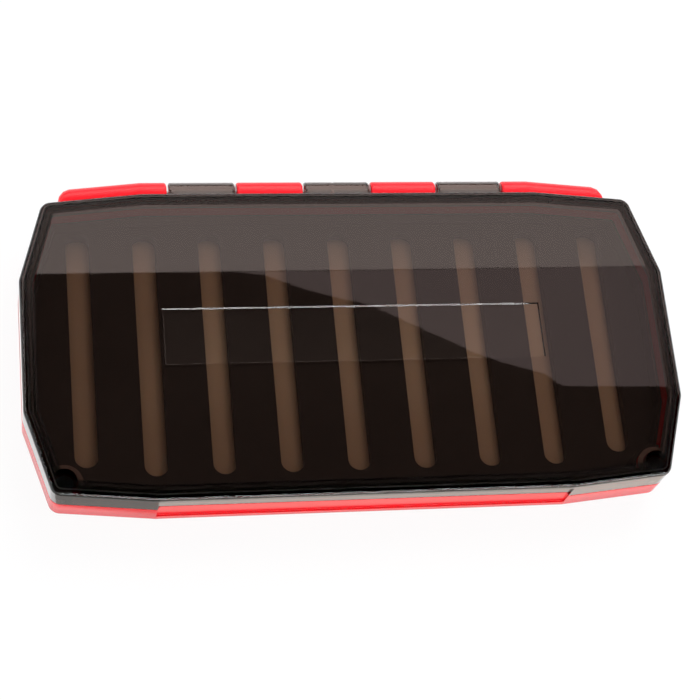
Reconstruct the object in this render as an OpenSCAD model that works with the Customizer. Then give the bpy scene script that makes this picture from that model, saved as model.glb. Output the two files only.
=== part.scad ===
// Slim fly box: a red base with nine soft strips in a slotted plate, and a smoky lid on a hinge of
// seven knuckles. A thin seal lies on the base's tongue, and magnets in the front corners hold the lid shut.
// The box stands on z = 0, its length is along X, the hinge is at the back (+Y) and the thumb recess in front.
// All sizes are in millimetres.

/* [Outline] */
// Length of the box between its two side facets
body_l = 190; // [176:1:220]
// Depth of the box without its hinge
body_d = 94; // [88:1:110]
// How far the corners stand inside the side facets
corner_in_x = 7.2; // [5:0.2:10]
// How far the corners stand inside the front and back facets
corner_in_y = 2.8; // [2:0.2:5]
// Length along X of each sloping facet beside the front and back middle facets
wing_l = 28.8; // [25:0.2:32]
// Depth along Y of each sloping side facet
side_slope_d = 24.2; // [20:0.2:27]
// Radius of the upright edges
corner_r = 3.5; // [2:0.1:5]

/* [Heights] */
// Height of the closed box
body_h = 24; // [22:0.5:32]
// Height of the tapered underside, where the upright wall starts
taper_h = 7.5; // [5:0.5:9]
// How far the underside draws in at the bottom
taper_in = 4; // [1:0.2:4.2]
// Depth of the lid from its top to the parting line
lid_h = 8.6; // [8:0.2:11]
// Gap between the lid and the base along the parting line
part_gap = 0.4; // [0.2:0.05:0.5]

/* [Walls] */
// Thickness of the lid's side wall
lid_wall = 1.8; // [1.6:0.1:2.4]
// Thickness of the lid's top
lid_top = 2; // [1.6:0.1:2.6]
// Radius of the rounded edge round the lid's top
lid_round = 1.4; // [0.4:0.1:1.8]
// Radius of the round inner edge where the lid's top meets its wall
hollow_round = 2.4; // [1:0.1:2.5]
// Thickness of the base's tongue, which stands inside the lid
tongue_t = 1.4; // [0.8:0.1:1.6]
// Height of the tongue above the base's rim
tongue_h = 4.6; // [2:0.2:4.8]
// Gap between the tongue and the lid's wall
tongue_gap = 0.3; // [0.3:0.05:0.6]
// Thickness of the base's floor
floor_t = 2; // [1.5:0.1:2.5]
// Width of the flat border round the lid's top
border_w = 1.9; // [1.5:0.1:3]
// Depth of the border below the lid's top
border_step = 0.15; // [0.1:0.05:0.3]
// Width of the border and the band inside it
band_w = 4.2; // [3.4:0.1:5]
// Depth of the band below the lid's top
band_step = 0.05; // [0.02:0.01:0.1]
// Thickness of the seal on top of the tongue
seal_t = 0.6; // [0.4:0.1:0.8]
// How far the seal stays inside the tongue's outer face
seal_in = 0.1; // [0.05:0.05:0.3]

/* [Thumb recess] */
// Depth of the recess in the front middle facet
recess_d = 0.6; // [0.4:0.1:1]
// Height of the ledge left below the recess
recess_lip = 2; // [1:0.2:3]
// Height of lid left above the recess
recess_top = 3; // [2.2:0.2:4]
// How far the base's wall rises into the lid along the recess
recess_rise = 1.4; // [1:0.2:3]

/* [Hinge] */
// Distance of the hinge axis behind the back wall
hinge_out = 4.1; // [3.8:0.1:5]
// Height of the parting line above the hinge axis
hinge_drop = 0.6; // [0.6:0.1:1.2]
// Diameter of the hinge knuckles
barrel_d = 6.6; // [5:0.1:6.8]
// Radius of the knuckles' rounded ends
barrel_round = 0.8; // [0.2:0.1:1]
// Gap between neighbouring knuckles
knuckle_gap = 0.5; // [0.3:0.05:0.8]
// How far each end block laps the middle facet
block_lap = 8; // [6:0.5:12]
// Distance from each end block's full section to the corner
block_to_corner = 8.4; // [7:0.2:12]
// Length of the end block's rounded tip
block_tip = 3.5; // [2:0.5:5]
// Diameter of the two hinge pins
pin_d = 1.6; // [1.2:0.1:1.8]
// Radial clearance of the pins in the knuckles
pin_gap = 0.05; // [0.03:0.01:0.08]
// Gap between the two pins, under the notch of the middle knuckle
pin_split = 1; // [0.5:0.1:2]
// Distance of the notch to the left of the middle
notch_left = 1.1; // [0:0.1:3]
// Width of the notch in the middle knuckle
notch_w = 0.6; // [0.4:0.1:1]
// Depth of the notch in the middle knuckle
notch_d = 1.2; // [0.8:0.1:1.6]

/* [Insert] */
// Distance from the side facets to the centre of the first and last slot
slot_side = 17.5; // [16:0.5:22]
// Distance from the front facet to the slots
slot_front = 11.2; // [9:0.2:14]
// Distance from the back facet to the slots
slot_back = 7.6; // [6.6:0.2:12]
// How much the first and last slot are shorter in front
end_slot_front = 3.1; // [1:0.1:4]
// How much the first and last slot are shorter behind
end_slot_back = 0; // [0:0.1:4]
// Width of the slots
slot_w = 6.8; // [5:0.1:8]
// Depth of the slots down to the strips
slot_deep = 3.5; // [2:0.1:4]
// Height of the strips
strip_h = 4.4; // [3:0.1:5]
// Width of the strip hidden on each side of its slot
strip_lap = 1.4; // [0.8:0.1:1.6]
// Length of the strip hidden past each end of its slot
strip_end = 0.3; // [0.2:0.1:0.6]
// Gap between a strip and its pocket in the plate
strip_gap = 0.1; // [0.05:0.01:0.2]
// Thickness of the adhesive sheet under the plate
sheet_t = 0.6; // [0.4:0.1:1]
// Gap between the plate and the base's wall
plate_gap = 0.3; // [0.2:0.05:0.6]
// Thickness of the plate's top over its hollow underside
plate_skin = 2; // [1.2:0.1:3]
// Thickness of the plate's walls beside the strips
plate_wall = 1.2; // [0.8:0.1:1.6]
// Thickness of the plate's upright rim, which lines the base's wall
rim_t = 1; // [0.8:0.1:1.2]
// Depth of the rim's top below the top of the base's tongue
rim_below = 4; // [1:0.1:6]
// Depth of the top of the collars round the corner bosses below the top of the base's tongue
collar_below = 0.5; // [0.3:0.1:1]

/* [Magnets] */
// Diameter of the closing magnets
magnet_d = 5; // [4:0.1:5.4]
// Thickness of the closing magnets
magnet_t = 2; // [1.5:0.1:3]
// Distance of the magnets' centres from the two walls of their corner
magnet_in = 4.3; // [4.2:0.1:5]
// Thickness of the boss round each magnet
boss_t = 1; // [0.8:0.1:1.2]
// Gap between a magnet and its pocket
magnet_gap = 0.05; // [0.03:0.01:0.1]

/* [Panel] */
// Length of the sunk panel in the lid's top
panel_l = 110.6; // [80:0.2:130]
// Width of the sunk panel
panel_w = 17.2; // [12:0.2:24]
// Distance of the panel's centre behind the middle of the lid
panel_back = 1.4; // [0:0.1:4]
// Depth of the sunk panel
panel_deep = 0.5; // [0.2:0.1:0.8]
// Width of the panel's sloping edge
panel_edge = 0.3; // [0.2:0.1:1]

/* [Hidden] */

// One strip for each strip name in NODES
strip_count = 9;
// Small overlap that lets neighbouring solids of one piece fuse
eps = 0.02;
// Facets of a full circle
round_fn = 48;
// Facets of a full circle inside a hull
hull_fn = 32;
// Thickness of the slabs that a hull joins
slab_t = 0.02;
// Smallest radius of an inner upright edge
inner_r = 1;
// Angle between neighbouring points on a round corner
corner_step = 8;

// The lid, the parting line and the tongue
part_z = body_h - lid_h;
rim_z = part_z - part_gap;
tongue_z = rim_z + tongue_h;
tongue_in = lid_wall + tongue_gap;
well_in = tongue_in + tongue_t;

// The corners of the right-hand half of the outline
corner_x = body_l / 2 - corner_in_x;
corner_y = body_d / 2 - corner_in_y;
mid_x = corner_x - wing_l;
side_y = corner_y - side_slope_d;

// The hinge, whose knuckles between the end blocks are all of one length
barrel_r = barrel_d / 2;
hinge_y = body_d / 2 + hinge_out;
hinge_z = part_z - hinge_drop;
block_x = mid_x - block_lap;
knuckle_count = 5;
knuckle_pitch = (2 * block_x - knuckle_gap) / knuckle_count;
knuckle_l = knuckle_pitch - knuckle_gap;
block_end = corner_x - block_to_corner;
web_y = body_d / 2 - lid_wall / 2;
bore_r = pin_d / 2 + pin_gap;

// The bounding box is centred on the origin, so the outline moves forward by half of what the hinge adds
outline_y = -(hinge_out + barrel_r) / 2;

// The insert
sheet_z = floor_t;
strip_z = sheet_z + sheet_t;
strip_top = strip_z + strip_h;
plate_top = strip_top + strip_gap + slot_deep;
plate_in = well_in + plate_gap;
slot_pitch = (body_l - 2 * slot_side) / (strip_count - 1);
pocket_w = slot_w + 2 * (strip_lap + strip_gap);

// The magnets
boss_r = magnet_d / 2 + boss_t;
boss_room_r = boss_r + tongue_gap;
tongue_bend_r = boss_room_r + tongue_t;
magnet_skin = 0.1;
magnet_room_r = magnet_d / 2 + magnet_gap;
collar_room_r = tongue_bend_r + plate_gap;

// The outline's corners, anticlockwise from the right-hand side
quarter = [[body_l / 2, side_y], [corner_x, corner_y], [mid_x, body_d / 2]];
outline = concat(
    quarter,
    [for (i = [2:-1:0]) [-quarter[i][0], quarter[i][1]]],
    [for (i = [0:2]) -quarter[i]],
    [for (i = [2:-1:0]) [quarter[i][0], -quarter[i][1]]]);
corners = len(outline);
front_right = 10;

// Inward normal of the outline's side that ends at corner i
function inward(i) =
    let (side = outline[i % corners] - outline[(i + corners - 1) % corners])
    [-side[1], side[0]] / norm(side);

// The point that lies d inside both sides that meet at corner i
function inside_corner(i, d) =
    let (a = inward(i), b = inward(i + 1))
    outline[i] + d * (a + b) / (1 + a * b);

// Where the slot with index i is, and where it starts and ends in depth
function slot_x(i) = (i - (strip_count + 1) / 2) * slot_pitch;
function is_end(i) = i == 1 || i == strip_count;
function slot_y1(i) = -body_d / 2 + slot_front + (is_end(i) ? end_slot_front : 0);
function slot_y2(i) = body_d / 2 - slot_back - (is_end(i) ? end_slot_back : 0);

// Points of the round corner i of the outline drawn in by inset
function corner_points(i, inset) =
    let (r = max(corner_r - inset, inner_r),
         centre = inside_corner(i, inset + r),
         start = -inward(i),
         end = -inward(i + 1),
         first = atan2(start[1], start[0]),
         turn = acos(start * end),
         steps = max(1, round(turn / corner_step)))
    [for (s = [0:steps]) let (a = first + turn * s / steps) centre + r * [cos(a), sin(a)]];

// The outline drawn in by a distance, with round corners
module plan(inset)
    polygon([for (i = [0:corners - 1]) each corner_points(i, inset)]);

module prism(z1, z2, inset) {
    translate([0, 0, z1])
        linear_extrude(z2 - z1)
            plan(inset);
}

module slab(z, inset) {
    translate([0, 0, z])
        linear_extrude(slab_t)
            plan(inset);
}

// A flat bar with round ends, centred on x = 0
module stadium(w, y1, y2, h) {
    r = w / 2;
    linear_extrude(h)
        union() {
            translate([-r, y1 + r])
                square([w, y2 - y1 - w]);
            for (y = [y1 + r, y2 - r])
                translate([0, y])
                    circle(r, $fn = round_fn);
        }
}

// A knuckle along X from x1 to x2 with rounded ends
module barrel(x1, x2) {
    long = x2 - x1;
    translate([x1, hinge_y, hinge_z])
        rotate([0, 90, 0])
            rotate_extrude($fn = round_fn)
                union() {
                    square([barrel_r - barrel_round, long]);
                    translate([0, barrel_round])
                        square([barrel_r, long - 2 * barrel_round]);
                    for (y = [barrel_round, long - barrel_round])
                        translate([barrel_r - barrel_round, y])
                            circle(barrel_round, $fn = round_fn);
                }
}

// Middle of the knuckle with index k, counted from the middle knuckle
function knuckle_x(k) = k * knuckle_pitch;

// A knuckle with the web that joins it to a wall between the heights z1 and z2
module knuckle(k, z1, z2) {
    x1 = knuckle_x(k) - knuckle_l / 2;
    barrel(x1, x1 + knuckle_l);
    translate([x1 + barrel_round, web_y, z1])
        cube([knuckle_l - 2 * barrel_round, hinge_y - web_y, z2 - z1]);
}

// Shift of the back wall at a distance x from the middle
function wall_shift(x) = max(x - mid_x, 0) * corner_in_y / wing_l;

module block_slice(x, r, shift) {
    translate([x, hinge_y - shift, hinge_z])
        rotate([0, 90, 0])
            cylinder(r = r, h = slab_t, $fn = hull_fn);
}

// The right-hand end block: a knuckle whose outer end follows the back wall and rounds into it
module end_block() {
    tip_r = barrel_r / 2;
    full_r = barrel_r - eps;
    steps = 3;
    barrel(block_x, mid_x + barrel_round);
    hull() {
        block_slice(mid_x - 1, full_r, 0);
        block_slice(mid_x, full_r, 0);
        for (s = [0:steps]) {
            x = block_end + block_tip * sin(90 * s / steps);
            drop = 1 - cos(90 * s / steps);
            block_slice(x, full_r + (tip_r - full_r) * drop, wall_shift(x) + (hinge_out - tip_r) * drop);
        }
    }
    translate([block_x + barrel_round, web_y - wall_shift(block_end + block_tip), hinge_z - barrel_r])
        cube([block_end - block_x - barrel_round, hinge_y - web_y, rim_z - hinge_z + barrel_r]);
}

module both_sides() {
    children();
    mirror([1, 0, 0]) children();
}

module pin_bore() {
    reach = body_l / 2;
    translate([-reach, hinge_y, hinge_z])
        rotate([0, 90, 0])
            cylinder(r = bore_r, h = 2 * reach, $fn = round_fn);
}

// A disc at the right-hand front corner
module corner_disc(r, z1, z2) {
    p = inside_corner(front_right, magnet_in);
    translate([p[0], p[1], z1])
        cylinder(r = r, h = z2 - z1, $fn = round_fn);
}

// The recess for the thumb, cut into both shells
module thumb_recess() {
    z1 = taper_h + recess_lip;
    z2 = body_h - recess_top;
    translate([-mid_x, -body_d / 2 - recess_d, z1])
        cube([2 * mid_x, 2 * recess_d, z2 - z1]);
}

module base_body() {
    hull() {
        slab(0, taper_in);
        slab(taper_h, 0);
    }
    prism(taper_h, rim_z, 0);
    prism(rim_z - eps, tongue_z, tongue_in);
    rise_x = mid_x - part_gap;
    rise_in = recess_d / 2;
    translate([-rise_x, rise_in - body_d / 2, rim_z - eps])
        cube([2 * rise_x, tongue_in + tongue_t / 2 - rise_in, recess_rise + eps]);
}

// The hollow of the base, which leaves a boss in each front corner with the tongue round it
module base_well() {
    difference() {
        prism(floor_t, tongue_z + eps, well_in);
        both_sides() corner_disc(tongue_bend_r, floor_t - eps, tongue_z + 2 * eps);
    }
}

module base_shell() {
    color([0.92, 0.10, 0.15])
    translate([0, outline_y, 0])
    difference() {
        union() {
            difference() {
                base_body();
                base_well();
                both_sides() corner_disc(boss_room_r, rim_z, tongue_z + eps);
            }
            for (k = [-1, 1]) knuckle(k, hinge_z - barrel_r, rim_z);
            both_sides() end_block();
        }
        thumb_recess();
        both_sides() corner_disc(magnet_room_r, rim_z - magnet_skin - magnet_t - magnet_gap, rim_z + eps);
        pin_bore();
    }
}

module lid_body() {
    steps = 4;
    top = body_h - border_step;
    hull() {
        slab(part_z, 0);
        for (s = [0:steps]) {
            a = 90 * s / steps;
            slab(top - slab_t - lid_round * (1 - sin(a)), lid_round * (1 - cos(a)));
        }
    }
    prism(top - eps, body_h - band_step, border_w);
    prism(body_h - band_step - eps, body_h, band_w);
}

// The hollow of the lid, with a round edge under its top
module lid_hollow() {
    steps = 4;
    top = body_h - lid_top;
    prism(part_z - eps, top - hollow_round, lid_wall);
    hull()
        for (s = [0:steps]) {
            a = 90 * s / steps;
            slab(top - slab_t - hollow_round * (1 - sin(a)), lid_wall + hollow_round * (1 - cos(a)));
        }
}

module panel_pocket() {
    translate([0, panel_back, body_h])
        hull() {
            translate([-panel_l / 2, -panel_w / 2, 0])
                cube([panel_l, panel_w, slab_t]);
            translate([-panel_l / 2 + panel_edge, -panel_w / 2 + panel_edge, -panel_deep])
                cube([panel_l - 2 * panel_edge, panel_w - 2 * panel_edge, slab_t]);
        }
}

module lid_shell() {
    color([0.22, 0.19, 0.18, 0.6])
    translate([0, outline_y, 0])
    difference() {
        union() {
            difference() {
                lid_body();
                lid_hollow();
                translate([-mid_x, -body_d / 2 - eps, part_z - eps])
                    cube([2 * mid_x, lid_wall + 2 * eps, recess_rise + eps]);
            }
            both_sides() corner_disc(boss_r, part_z, body_h - lid_top + eps);
            for (k = [-2, 0, 2]) knuckle(k, part_z, hinge_z + barrel_r);
        }
        thumb_recess();
        panel_pocket();
        both_sides() corner_disc(magnet_room_r, part_z - eps, part_z + magnet_skin + magnet_t + magnet_gap);
        pin_bore();
        translate([-notch_left - notch_w / 2, hinge_y + barrel_r - notch_d, hinge_z - barrel_r])
            cube([notch_w, barrel_r, barrel_d]);
    }
}

// The thin seal on top of the tongue
module rim_seal() {
    seal_top = tongue_z + seal_t;
    color([0.10, 0.09, 0.09])
    translate([0, outline_y, 0])
    difference() {
        prism(tongue_z, seal_top, tongue_in + seal_in);
        difference() {
            prism(tongue_z - eps, seal_top + eps, well_in);
            both_sides() corner_disc(tongue_bend_r, tongue_z - 2 * eps, seal_top + 2 * eps);
        }
        both_sides() corner_disc(boss_room_r, tongue_z - eps, seal_top + eps);
    }
}

// One of the two hinge pins, driven in from the end of its end block; side is -1 or 1
module hinge_pin(side) {
    pin_end = block_end - 1;
    inner_end = pin_split / 2 - side * notch_left;
    start = side < 0 ? -pin_end : inner_end;
    color([0.72, 0.73, 0.75])
    translate([start, outline_y + hinge_y, hinge_z])
        rotate([0, 90, 0])
            cylinder(r = pin_d / 2, h = pin_end - inner_end, $fn = round_fn);
}

// The opening over the strip with index i, and the pocket that holds the strip
module slot_and_pocket(i) {
    over = strip_end + strip_gap;
    translate([slot_x(i), 0, strip_z - eps]) {
        stadium(slot_w, slot_y1(i), slot_y2(i), plate_top - strip_z + 2 * eps);
        stadium(pocket_w, slot_y1(i) - over, slot_y2(i) + over, strip_h + strip_gap + eps);
    }
}

// The hollow under the plate between the strips with the indexes i and i + 1
module plate_hollow(i) {
    w = slot_pitch - pocket_w - 2 * plate_wall;
    translate([slot_x(i + 0.5), 0, strip_z - eps])
        stadium(w, slot_y1(1), slot_y2(1), plate_top - plate_skin - strip_z + eps);
}

// The plate with its rim, and a higher collar round each front corner boss
module plate_body() {
    rim_top = tongue_z - rim_below;
    difference() {
        prism(strip_z, rim_top, plate_in);
        prism(plate_top, rim_top + eps, plate_in + rim_t);
    }
    intersection() {
        prism(plate_top - eps, tongue_z - collar_below, plate_in);
        both_sides() corner_disc(collar_room_r + rim_t, strip_z, tongue_z);
    }
}

module slotted_plate() {
    color([0.07, 0.06, 0.06])
    translate([0, outline_y, 0])
    difference() {
        plate_body();
        for (i = [1:strip_count]) slot_and_pocket(i);
        for (i = [1:strip_count - 1]) plate_hollow(i);
        both_sides() corner_disc(collar_room_r, strip_z - eps, tongue_z + eps);
    }
}

module strip(i) {
    color([0.86, 0.80, 0.70])
    translate([slot_x(i), outline_y, strip_z])
        stadium(slot_w + 2 * strip_lap, slot_y1(i) - strip_end, slot_y2(i) + strip_end, strip_h);
}

module adhesive_sheet() {
    color([0.80, 0.80, 0.78])
    translate([0, outline_y, 0])
    difference() {
        prism(sheet_z, sheet_z + sheet_t, plate_in);
        both_sides() corner_disc(collar_room_r, sheet_z - eps, sheet_z + sheet_t + eps);
    }
}

// A magnet at a front corner from the height z up; side is -1 or 1
module magnet(side, z) {
    color([0.72, 0.71, 0.69])
    translate([0, outline_y, 0])
    mirror([side < 0 ? 1 : 0, 0, 0])
        corner_disc(magnet_d / 2, z, z + magnet_t);
}

module base_magnet(side) magnet(side, rim_z - magnet_skin - magnet_t);
module lid_magnet(side) magnet(side, part_z + magnet_skin);

base_shell();
hinge_pin(-1);  // hinge_pin_left
hinge_pin(1);  // hinge_pin_right
adhesive_sheet();
slotted_plate();
rim_seal();
base_magnet(-1);  // base_magnet_left
base_magnet(1);  // base_magnet_right
for (i = [1:strip_count])
    strip(i);
lid_magnet(-1);  // lid_magnet_left
lid_magnet(1);  // lid_magnet_right
lid_shell();
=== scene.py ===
import math

import bmesh
import bpy
from mathutils import Euler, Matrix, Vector


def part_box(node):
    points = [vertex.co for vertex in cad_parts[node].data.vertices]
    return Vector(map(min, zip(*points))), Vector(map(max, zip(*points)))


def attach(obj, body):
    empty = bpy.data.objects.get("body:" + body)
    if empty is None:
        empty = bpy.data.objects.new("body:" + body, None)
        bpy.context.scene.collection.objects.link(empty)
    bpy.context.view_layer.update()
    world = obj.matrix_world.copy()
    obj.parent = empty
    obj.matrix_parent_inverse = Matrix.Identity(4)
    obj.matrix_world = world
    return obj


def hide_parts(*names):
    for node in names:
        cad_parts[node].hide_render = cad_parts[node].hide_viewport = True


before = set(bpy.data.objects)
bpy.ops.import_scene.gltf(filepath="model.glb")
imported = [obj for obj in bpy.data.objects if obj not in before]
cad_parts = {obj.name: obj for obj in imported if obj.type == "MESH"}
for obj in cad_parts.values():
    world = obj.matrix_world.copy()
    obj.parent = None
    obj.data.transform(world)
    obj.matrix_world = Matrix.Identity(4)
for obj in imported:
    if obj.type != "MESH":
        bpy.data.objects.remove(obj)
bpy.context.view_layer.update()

# Camera, in metres, millimetres and degrees, as fitted to the photograph's 700 x 700 pixels
CAMERA_PLACE = (-0.11205, -0.22636, 0.54430)
CAMERA_ANGLES = (23.3694, -9.6696, -5.3941)
SENSOR_MM = 36.0
LENS_MM = 103.58
CLIP_NEAR, CLIP_FAR = 0.01, 100

# The smoky plastic of the lid, and what each of its faces lets through of a lamp's light
LID_IOR = 1.58
LID_ABSORB_COLOUR = (0.34, 0.19, 0.12)
LID_ABSORB_DENSITY = 700.0
LID_GLOSS_SCALE = 90
LAMP_SHARE = (0.95, 0.95, 0.95, 1)

# The two lower flats of the lid's top, in metres below it
LID_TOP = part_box("lid_shell")[1].z
BORDER_LEVEL = LID_TOP - 0.00015
BAND_LEVEL = LID_TOP - 0.00005
LEVEL_TOLERANCE = 0.00003

# Least distance of the lid's outer wall from the middle of the box, and where its knuckles begin
WALL_REACH = 0.0425
KNUCKLES_FROM = 0.0435

# Least upward share of a level face's normal, and the most of an upright one's
LEVEL_SHARE = 0.99
UPRIGHT_SHARE = 0.1

# Points nearer than this are one, in metres, and faces that meet flatter than this are one, in degrees
WELD_GAP = 0.000002
ONE_FLAT = 0.4

# Faces that meet sharper than this keep a sharp edge, in degrees
SHARP_ANGLE = 30
LID_SHARP_ANGLE = 35
STRIP_SHARP_ANGLE = 50

# How much a face's area, out of 100, counts in the smoothed look of its corners
FLAT_WEIGHT = 100

# The strips: steps of a round end and of the domed top, and how far that falls to its edge, in metres
ROUND_STEPS = 16
ROUND_END = [math.pi * k / ROUND_STEPS for k in range(ROUND_STEPS + 1)]
DOME_STEPS = 8
DOME_SAG = 0.0016
STRIP_COUNT = 9

# Light that runs inside the soft strips, in metres for red, green and blue
SOFT_SCATTER = (0.003, 0.002, 0.0012)

# Fineness of all the noises, and of the soft look of edges
NOISE_DETAIL = 3.0
EDGE_SAMPLES = 4

# Studio, in metres: the floor, and sheets overhead that only reflections see
FLOOR_HALF = 3.0
FLOOR_COLOUR = (0.8, 0.8, 0.8, 1)
FLOOR_WHITE_SHARE = 0.93
CARD_HEIGHT = 0.80
CARD_FRONT = 0.3815
CARD_LEFT, CARD_RIGHT, CARD_BACK = -0.9, 1.3, 1.4
FLAG_REACH = 2.2
FLAG_HEIGHT = CARD_HEIGHT + 0.01

# Strength and colour of the sheets overhead
WHITE_CARD_GLOW = (1.76, (1.0, 0.82, 0.765))
GREY_CARD_GLOW = (0.83, (1.0, 0.77, 0.75))

# Edge of the dimmer card, seen from above, from left to right
GREY_CARD_EDGE = [(0.083, 0.381), (0.105, 0.378), (0.129, 0.368), (0.154, 0.360), (0.181, 0.353),
                  (0.249, 0.317), (0.270, 0.307), (0.302, 0.297), (0.309, 0.291), (0.315, 0.287),
                  (0.46, 0.283)]

# The front wall's reflection of the floor is painted here: the dark sheet is painted shadow on the left, the
# bright one painted light
# Sheets on the floor before the front wall, for its reflection: left, right, strength and colour
FLOOR_CARDS = {
    "painted_floor_shadow_card": (-0.14, -0.058, 0.42, (1.0, 0.93, 0.88)),
    "painted_floor_light_card": (-0.058, 0.20, 1.12, (1.0, 0.87, 0.80)),
}
FLOOR_CARD_FRONT, FLOOR_CARD_BACK = -0.20, -0.0515
FLOOR_CARD_HEIGHT = 0.0003

# Cards that face the object and make the lines of light on its edges: place, width, height and strength
FACING_CARDS = {
    "front_card": ((0.25, -1.07, 0.69), 1.2, 0.16, 8.0),
    "left_card": ((-1.11, 0.13, 0.65), 0.8, 0.12, 4.0),
    "low_card": ((0.05, -0.25, 0.026), 0.6, 0.048, 8.0),
}

# Soft boxes that look at the object: place, side and watts
LAMPS = {
    "key_lamp": ((0.9, -0.7, 1.5), 1.2, 5),
    "fill_lamp": ((-1.1, -0.5, 1.2), 1.2, 3),
    "front_lamp": ((0.1, -1.5, 0.4), 1.0, 6),
    "back_lamp": ((0.1, 0.24, 0.40), 0.4, 3),
}

# Strength of the white world for the light, and where an eye or a reflection sees it
WORLD_LIGHT, WORLD_SEEN = 0.85, 1.0


# Nodes

def add_node(tree, kind, **values):
    node = tree.nodes.new(kind)
    for key, value in values.items():
        setattr(node, key, value)
    return node


def link(tree, giver, out, taker, into):
    tree.links.new(giver.outputs[out], taker.inputs[into])


def new_material(name):
    material = bpy.data.materials.new(name)
    material.use_nodes = True
    material.node_tree.nodes.clear()
    return material


def give_surface(tree, shader, out):
    """The tree's material output, with this shader as its surface."""
    output = add_node(tree, "ShaderNodeOutputMaterial")
    link(tree, shader, out, output, "Surface")
    return output


def object_noise(tree, scale):
    """A noise that is fixed to the piece."""
    place = add_node(tree, "ShaderNodeTexCoord")
    noise = add_node(tree, "ShaderNodeTexNoise")
    noise.inputs["Scale"].default_value = scale
    noise.inputs["Detail"].default_value = NOISE_DETAIL
    link(tree, place, "Object", noise, "Vector")
    return noise


def varied_colour(tree, shader, dark, light, scale):
    """A colour that drifts a little between dark and light."""
    mix = add_node(tree, "ShaderNodeMix", data_type="RGBA")
    mix.inputs["A"].default_value = (*dark, 1)
    mix.inputs["B"].default_value = (*light, 1)
    link(tree, object_noise(tree, scale), "Fac", mix, "Factor")
    link(tree, mix, "Result", shader, "Base Color")


def grain(tree, shader, scale, depth, edge):
    """A fine relief on the surface, and a soft look to its edges."""
    bump = add_node(tree, "ShaderNodeBump")
    bump.inputs["Strength"].default_value = 1.0
    bump.inputs["Distance"].default_value = depth
    link(tree, object_noise(tree, scale), "Fac", bump, "Height")
    if edge:
        bevel = add_node(tree, "ShaderNodeBevel", samples=EDGE_SAMPLES)
        bevel.inputs["Radius"].default_value = edge
        link(tree, bevel, "Normal", bump, "Normal")
    link(tree, bump, "Normal", shader, "Normal")


def seen_rays(tree):
    """A node whose value is 1 for what an eye sees, directly, in a reflection or through the lid."""
    path = add_node(tree, "ShaderNodeLightPath")
    seen = add_node(tree, "ShaderNodeMath", operation="MAXIMUM")
    link(tree, path, "Is Camera Ray", seen, 0)
    link(tree, path, "Is Glossy Ray", seen, 1)
    also = add_node(tree, "ShaderNodeMath", operation="MAXIMUM")
    link(tree, seen, "Value", also, 0)
    link(tree, path, "Is Transmission Ray", also, 1)
    return also


# Materials

def solid_material(name, dark, light, roughness, colour_scale=60, grain_scale=3000, grain_depth=0.00002,
                   metallic=0.0, subsurface=0.0, edge=0.0):
    material = new_material(name)
    tree = material.node_tree
    shader = add_node(tree, "ShaderNodeBsdfPrincipled")
    shader.inputs["Roughness"].default_value = roughness
    shader.inputs["Metallic"].default_value = metallic
    if subsurface:
        shader.inputs["Subsurface Weight"].default_value = subsurface
        shader.inputs["Subsurface Radius"].default_value = SOFT_SCATTER
        shader.inputs["Subsurface Scale"].default_value = 1.0
    varied_colour(tree, shader, dark, light, colour_scale)
    grain(tree, shader, grain_scale, grain_depth, edge)
    give_surface(tree, shader, "BSDF")
    return material


def smoky_plastic(name, smoothest, roughest, shine=1.0, clearness=1.0, coat=0.0):
    """Clear dark plastic: glass that lets lamps through, with the colour in its body."""
    material = new_material(name)
    tree = material.node_tree
    glass = add_node(tree, "ShaderNodeBsdfPrincipled")
    glass.inputs["Base Color"].default_value = (clearness, clearness, clearness, 1)
    glass.inputs["Specular Tint"].default_value = (shine, shine, shine, 1)
    glass.inputs["Coat Weight"].default_value = coat
    glass.inputs["Transmission Weight"].default_value = 1.0
    glass.inputs["IOR"].default_value = LID_IOR
    gloss = add_node(tree, "ShaderNodeMapRange")
    gloss.inputs["To Min"].default_value = smoothest
    gloss.inputs["To Max"].default_value = roughest
    link(tree, object_noise(tree, LID_GLOSS_SCALE), "Fac", gloss, "Value")
    link(tree, gloss, "Result", glass, "Roughness")
    clear = add_node(tree, "ShaderNodeBsdfTransparent")
    clear.inputs["Color"].default_value = LAMP_SHARE
    path = add_node(tree, "ShaderNodeLightPath")
    mix = add_node(tree, "ShaderNodeMixShader")
    link(tree, path, "Is Shadow Ray", mix, 0)
    link(tree, glass, "BSDF", mix, 1)
    link(tree, clear, "BSDF", mix, 2)
    body = add_node(tree, "ShaderNodeVolumeAbsorption")
    body.inputs["Color"].default_value = (*LID_ABSORB_COLOUR, 1)
    body.inputs["Density"].default_value = LID_ABSORB_DENSITY
    output = give_surface(tree, mix, "Shader")
    link(tree, body, "Volume", output, "Volume")
    return material


RED = solid_material("red_plastic", (0.80, 0.008, 0.016), (0.90, 0.012, 0.022), roughness=0.22,
                     grain_scale=2500, grain_depth=0.00003, edge=0.0003)
BLACK = solid_material("black_foam_plate", (0.018, 0.016, 0.015), (0.028, 0.025, 0.023), roughness=0.6,
                       grain_scale=1800, grain_depth=0.00004, edge=0.0003)
SOFT = solid_material("strip_silicone", (0.60, 0.50, 0.35), (0.68, 0.58, 0.43), roughness=0.55,
                      grain_scale=900, grain_depth=0.00003, subsurface=0.4, edge=0.0004)
STEEL = solid_material("pin_steel", (0.55, 0.56, 0.58), (0.66, 0.67, 0.69), roughness=0.28, metallic=1.0)
MAGNET = solid_material("magnet_nickel", (0.60, 0.59, 0.56), (0.70, 0.69, 0.66), roughness=0.3,
                        metallic=1.0)
SHEET = solid_material("adhesive_sheet", (0.62, 0.61, 0.58), (0.70, 0.69, 0.66), roughness=0.7)
SEAL = solid_material("seal_rubber", (0.15, 0.12, 0.105), (0.30, 0.235, 0.205), roughness=0.65,
                      colour_scale=900, grain_scale=1500, grain_depth=0.00005)
SMOKE = smoky_plastic("smoky_plastic", smoothest=0.010, roughest=0.018)
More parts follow.
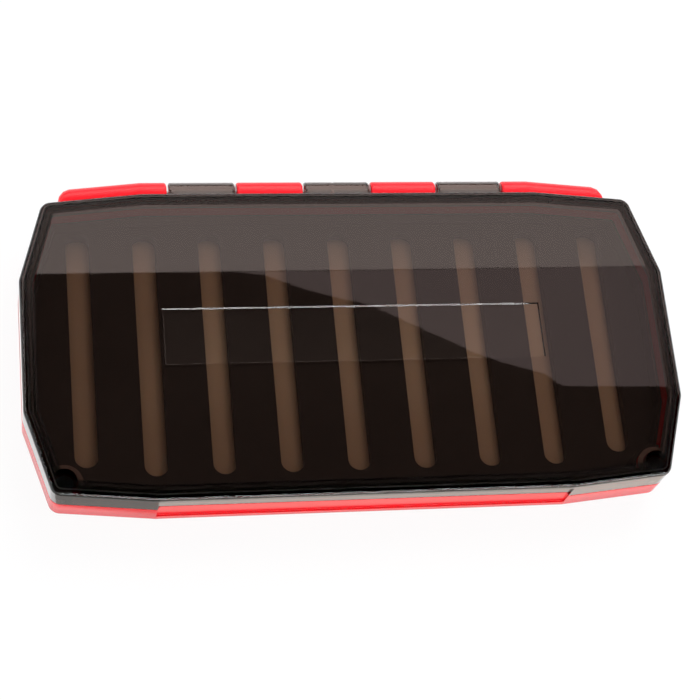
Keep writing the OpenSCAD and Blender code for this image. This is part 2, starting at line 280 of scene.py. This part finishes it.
FROST = smoky_plastic("smoky_plastic_grained", smoothest=0.42, roughest=0.50, shine=0.45, clearness=0.6)
BAND = smoky_plastic("smoky_plastic_satin", smoothest=0.19, roughest=0.23, shine=0.5, clearness=0.95)
WALL = smoky_plastic("smoky_plastic_wall", smoothest=0.010, roughest=0.025, coat=1.0)


# Pieces

def new_object(name, data):
    piece = bpy.data.objects.new(name, data)
    bpy.context.scene.collection.objects.link(piece)
    return piece


def smooth_mesh(mesh, sharp_angle):
    """Round parts look smooth, and edges sharper than this angle stay sharp."""
    mesh.polygons.foreach_set("use_smooth", [True] * len(mesh.polygons))
    mesh.set_sharp_from_angle(angle=math.radians(sharp_angle))


def stand_for(piece, node, body):
    """The piece takes the CAD node's place on its body."""
    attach(piece, body)
    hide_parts(node)


def smooth_copy(node, name, material, body, sharp_angle=SHARP_ANGLE):
    """The CAD node's shape as one welded skin with smooth round parts and flat flats."""
    skin = bmesh.new()
    skin.from_mesh(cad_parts[node].data)
    bmesh.ops.remove_doubles(skin, verts=skin.verts, dist=WELD_GAP)
    bmesh.ops.dissolve_limit(skin, angle_limit=math.radians(ONE_FLAT), verts=skin.verts, edges=skin.edges)
    mesh = bpy.data.meshes.new(name)
    skin.to_mesh(mesh)
    skin.free()
    for layer in ("custom_normal", "sharp_face", "sharp_edge"):
        if layer in mesh.attributes:
            mesh.attributes.remove(mesh.attributes[layer])
    mesh.materials.clear()
    mesh.materials.append(material)
    smooth_mesh(mesh, sharp_angle)
    piece = new_object(name, mesh)
    even = piece.modifiers.new("flat_flats", "WEIGHTED_NORMAL")
    even.keep_sharp = True
    even.weight = FLAT_WEIGHT
    stand_for(piece, node, body)
    return piece


def level_at(face, level):
    """Whether the face lies level at this height."""
    return face.normal.z > LEVEL_SHARE and abs(face.center.z - level) < LEVEL_TOLERANCE


def on_outer_wall(face):
    """Whether the face is an upright one that looks outward, far from the middle."""
    reach = face.center.x * face.normal.x + face.center.y * face.normal.y
    return abs(face.normal.z) < UPRIGHT_SHARE and reach > WALL_REACH


def lid_finish(face):
    """Glossy on the wall and the knuckles, grained on the top's border, satin on the band inside it."""
    if on_outer_wall(face) or face.center.y > KNUCKLES_FROM:
        return WALL
    if level_at(face, BORDER_LEVEL):
        return FROST
    if level_at(face, BAND_LEVEL):
        return BAND
    return SMOKE


def finish_lid(lid):
    """Gives each face of the lid its finish."""
    finishes = [SMOKE, FROST, BAND, WALL]
    lid.data.materials.clear()
    for material in finishes:
        lid.data.materials.append(material)
    for face in lid.data.polygons:
        face.material_index = finishes.index(lid_finish(face))


def soft_strip(node, name):
    """A strip with a domed top, as long, wide and high as the CAD node."""
    low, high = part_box(node)
    middle, radius = (low.x + high.x) / 2, (high.x - low.x) / 2
    rings = [(radius, low.z)]
    for step in range(DOME_STEPS):
        rise = math.pi / 2 * step / DOME_STEPS
        rings.append((radius * math.cos(rise), high.z - DOME_SAG * (1 - math.sin(rise))))
    corners = []
    for reach, level in rings:
        for turn in ROUND_END:
            corners.append((middle + reach * math.cos(turn), high.y - radius + reach * math.sin(turn), level))
        for turn in ROUND_END:
            corners.append((middle - reach * math.cos(turn), low.y + radius - reach * math.sin(turn), level))
    count = 2 * len(ROUND_END)
    faces = [tuple(reversed(range(count)))]
    for ring in range(len(rings) - 1):
        for k in range(count):
            here, beside = ring * count + k, ring * count + (k + 1) % count
            faces.append((here, beside, beside + count, here + count))
    faces.append(tuple(range((len(rings) - 1) * count, len(rings) * count)))
    mesh = bpy.data.meshes.new(name)
    mesh.from_pydata(corners, [], faces)
    mesh.materials.append(SOFT)
    smooth_mesh(mesh, STRIP_SHARP_ANGLE)
    stand_for(new_object(name, mesh), node, "base")


def paint(node, material):
    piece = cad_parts[node]
    piece.data.materials.clear()
    piece.data.materials.append(material)


smooth_copy("base_shell", "red_base", RED, "base")
finish_lid(smooth_copy("lid_shell", "smoky_lid", SMOKE, "lid", LID_SHARP_ANGLE))
smooth_copy("slotted_plate", "black_plate", BLACK, "base")
smooth_copy("rim_seal", "dark_seal", SEAL, "base")
for i in range(1, STRIP_COUNT + 1):
    soft_strip(f"strip_{i}", f"soft_strip_{i}")
for side in ("left", "right"):
    paint(f"hinge_pin_{side}", STEEL)
    paint(f"base_magnet_{side}", MAGNET)
    paint(f"lid_magnet_{side}", MAGNET)
paint("adhesive_sheet", SHEET)


# Studio

def flat_piece(name, points, height, material):
    """A level sheet of the studio with this outline, seen from above."""
    mesh = bpy.data.meshes.new(name)
    mesh.from_pydata([(x, y, height) for x, y in points], [], [tuple(range(len(points)))])
    mesh.materials.append(material)
    piece = new_object(name, mesh)
    return piece


def rectangle(x1, y1, x2, y2):
    return [(x1, y1), (x2, y1), (x2, y2), (x1, y2)]


def glow(name, strength, colour):
    material = new_material(name)
    light = add_node(material.node_tree, "ShaderNodeEmission")
    light.inputs["Color"].default_value = (*colour, 1)
    light.inputs["Strength"].default_value = strength
    give_surface(material.node_tree, light, "Emission")
    material.cycles.emission_sampling = "NONE"
    return material


def mirror_card(name, points, height, strength, colour=(1, 1, 1)):
    """A card that shows in glossy surfaces and doesn't light the object or stand in the view."""
    card = flat_piece(name, points, height, glow(name, strength, colour))
    card.visible_camera = False
    card.visible_diffuse = False
    card.visible_transmission = False
    card.visible_volume_scatter = False
    card.visible_shadow = False
    return card


def facing_card(name, place, width, height, strength):
    """A bright card that stands here and faces the object."""
    card = mirror_card(name, rectangle(-width / 2, -height / 2, width / 2, height / 2), 0.0, strength)
    card.location = place
    card.rotation_euler = Vector(place).to_track_quat("Z", "Y").to_euler()


def floor_material():
    """White to the eye and in reflections, with the object's shadow, and plain and pale for the light."""
    material = new_material("white_floor")
    tree = material.node_tree
    matt = add_node(tree, "ShaderNodeBsdfDiffuse")
    matt.inputs["Color"].default_value = FLOOR_COLOUR
    white = add_node(tree, "ShaderNodeEmission")
    white.inputs["Strength"].default_value = 1.0
    share = add_node(tree, "ShaderNodeMath", operation="MULTIPLY")
    share.inputs[1].default_value = FLOOR_WHITE_SHARE
    link(tree, seen_rays(tree), "Value", share, 0)
    mix = add_node(tree, "ShaderNodeMixShader")
    link(tree, share, "Value", mix, 0)
    link(tree, matt, "BSDF", mix, 1)
    link(tree, white, "Emission", mix, 2)
    give_surface(tree, mix, "Shader")
    material.cycles.emission_sampling = "NONE"
    return material


def soft_lamp(name, place, side, watts):
    """A square soft box that looks at the object and isn't seen itself."""
    data = bpy.data.lights.new(name, "AREA")
    data.shape = "SQUARE"
    data.size = side
    data.energy = watts
    lamp = new_object(name, data)
    lamp.location = place
    lamp.rotation_euler = (-Vector(place)).to_track_quat("-Z", "Y").to_euler()
    lamp.visible_glossy = False
    lamp.visible_transmission = False
    lamp.visible_camera = False


def white_world():
    world = bpy.data.worlds.new("white_world")
    world.use_nodes = True
    tree = world.node_tree
    tree.nodes.clear()
    strength = add_node(tree, "ShaderNodeMapRange")
    strength.inputs["To Min"].default_value = WORLD_LIGHT
    strength.inputs["To Max"].default_value = WORLD_SEEN
    link(tree, seen_rays(tree), "Value", strength, "Value")
    background = add_node(tree, "ShaderNodeBackground")
    link(tree, strength, "Result", background, "Strength")
    output = add_node(tree, "ShaderNodeOutputWorld")
    link(tree, background, "Background", output, "Surface")
    bpy.context.scene.world = world


def make_camera():
    data = bpy.data.cameras.new("camera")
    data.sensor_width = SENSOR_MM
    data.lens = LENS_MM
    data.clip_start = CLIP_NEAR
    data.clip_end = CLIP_FAR
    camera = new_object("camera", data)
    camera.location = CAMERA_PLACE
    camera.rotation_euler = Euler([math.radians(a) for a in CAMERA_ANGLES], "XYZ")
    bpy.context.scene.camera = camera


grey_card_outline = GREY_CARD_EDGE + [(CARD_RIGHT, GREY_CARD_EDGE[-1][1]), (CARD_RIGHT, CARD_FRONT)]
flat_piece("floor", rectangle(-FLOOR_HALF, -FLOOR_HALF, FLOOR_HALF, FLOOR_HALF), 0.0, floor_material())
mirror_card("white_card", rectangle(CARD_LEFT, CARD_FRONT, CARD_RIGHT, CARD_BACK), CARD_HEIGHT,
            *WHITE_CARD_GLOW)
mirror_card("grey_card", grey_card_outline, CARD_HEIGHT, *GREY_CARD_GLOW)
mirror_card("black_flag", rectangle(-FLAG_REACH, -FLAG_REACH, FLAG_REACH, FLAG_REACH), FLAG_HEIGHT, 0.0)
for name, (left, right, strength, colour) in FLOOR_CARDS.items():
    mirror_card(name, rectangle(left, FLOOR_CARD_FRONT, right, FLOOR_CARD_BACK), FLOOR_CARD_HEIGHT,
                strength, colour)
for name, card in FACING_CARDS.items():
    facing_card(name, *card)
for name, lamp in LAMPS.items():
    soft_lamp(name, *lamp)
white_world()
make_camera()
bpy.context.scene.view_settings.view_transform = "Standard"
